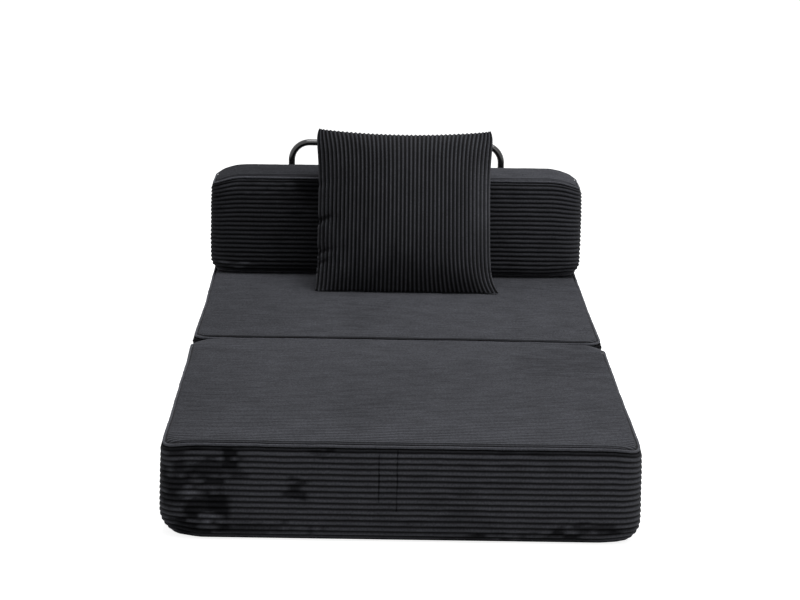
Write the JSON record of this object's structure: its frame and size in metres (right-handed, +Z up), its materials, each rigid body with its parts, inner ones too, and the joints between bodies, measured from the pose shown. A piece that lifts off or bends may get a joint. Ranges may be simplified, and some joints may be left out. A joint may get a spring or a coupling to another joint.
{
  "type": "floor sofa bed",
  "caption": "Low folding floor sofa bed: hinged foam seat cushions in ribbed cloth, a loose bolster and pillow, and a bent tube back hoop with a base under the cushion.",
  "frame": {"origin": "on the floor, at the middle of the bounding box of the opened bed", "axes": "+Z up, +Y towards the back hoop, +X to the right of someone facing the sofa from the front"},
  "size_m": [0.9034, 1.901, 0.5543],
  "materials": {
    "corduroy": "matte",
    "base_cloth": "matte",
    "foam": "matte",
    "fill": "matte",
    "zip_cloth": "matte",
    "zip_plastic": "satin",
    "zip_metal": "satin",
    "black_tube": "gloss",
    "frame_plastic": "matte",
    "screw_steel": "satin"
  },
  "bodies": {
    "rear_seat": {"rear_seat_top_panel": "corduroy", "rear_seat_side_band": "corduroy", "rear_seat_bottom_panel": "base_cloth", "rear_seat_piping": "corduroy", "rear_seat_firm_foam": "foam", "rear_seat_comfort_foam": "foam", "rear_seat_zip_tape": "zip_cloth", "rear_seat_zip_coil": "zip_plastic", "fabric_hinge": "corduroy", "back_hoop": "black_tube", "left_runner": "black_tube", "right_runner": "black_tube", "runner_cross_tube": "black_tube", "runner_end_plugs": "frame_plastic", "runner_feet": "frame_plastic", "hoop_screws": "screw_steel"},
    "front_seat": {"front_seat_top_panel": "corduroy", "front_seat_side_band": "corduroy", "front_seat_bottom_panel": "base_cloth", "front_seat_piping": "corduroy", "front_seat_firm_foam": "foam", "front_seat_comfort_foam": "foam", "front_seat_zip_tape": "zip_cloth", "front_seat_zip_coil": "zip_plastic"},
    "bolster": {"bolster_top_panel": "corduroy", "bolster_side_band": "corduroy", "bolster_bottom_panel": "corduroy", "bolster_piping": "corduroy", "bolster_foam": "foam", "bolster_zip_tape": "zip_cloth", "bolster_zip_coil": "zip_plastic"},
    "pillow": {"pillow_front_panel": "corduroy", "pillow_upper_back": "corduroy", "pillow_lower_back": "corduroy", "pillow_insert": "fill"},
    "front_seat_zip_slider": {"front_seat_zip_slider": "zip_metal"},
    "front_seat_zip_pull": {"front_seat_zip_pull": "zip_metal"},
    "rear_seat_zip_slider": {"rear_seat_zip_slider": "zip_metal"},
    "rear_seat_zip_pull": {"rear_seat_zip_pull": "zip_metal"},
    "bolster_zip_slider": {"bolster_zip_slider": "zip_metal"},
    "bolster_zip_pull": {"bolster_zip_pull": "zip_metal"}
  },
  "joints": [
    {"name": "seat_fold", "type": "hinge", "parent": "rear_seat", "child": "front_seat", "pos_m": [0, -0.0125, 0.196], "axis": [-1, 0, 0], "range_deg": [0, 180], "deforming": ["fabric_hinge"]},
    {"name": "bolster_lift", "type": "slide", "parent": "rear_seat", "child": "bolster", "axis": [0, 0, 1], "range_m": [0, 0.8]},
    {"name": "pillow_lift", "type": "slide", "parent": "rear_seat", "child": "pillow", "axis": [0, 0, 1], "range_m": [0, 1.26]},
    {"name": "front_seat_zip_run", "type": "slide", "parent": "front_seat", "child": "front_seat_zip_slider", "axis": [1, 0, 0], "range_m": [0, 0.416]},
    {"name": "front_seat_pull_swing", "type": "hinge", "parent": "front_seat_zip_slider", "child": "front_seat_zip_pull", "pos_m": [-0.208, -0.02323, 0.00873], "axis": [0, 0.7071, 0.7071], "range_deg": [0, 180]},
    {"name": "rear_seat_zip_run", "type": "slide", "parent": "rear_seat", "child": "rear_seat_zip_slider", "axis": [1, 0, 0], "range_m": [0, 0.416]},
    {"name": "rear_seat_pull_swing", "type": "hinge", "parent": "rear_seat_zip_slider", "child": "rear_seat_zip_pull", "pos_m": [-0.208, 0.91677, 0.00873], "axis": [0, 0.7071, 0.7071], "range_deg": [0, 180]},
    {"name": "bolster_zip_run", "type": "slide", "parent": "bolster", "child": "bolster_zip_slider", "axis": [1, 0, 0], "range_m": [0, 0.416]},
    {"name": "bolster_pull_swing", "type": "hinge", "parent": "bolster_zip_slider", "child": "bolster_zip_pull", "pos_m": [-0.208, 0.93055, 0.2353], "axis": [0, 0, 1], "range_deg": [0, 180]}
  ],
  "couplings": [
    {"joint": "bolster_lift", "follows": "seat_fold", "m_per_rad": 0.25},
    {"joint": "pillow_lift", "follows": "seat_fold", "m_per_rad": 0.4}
  ]
}
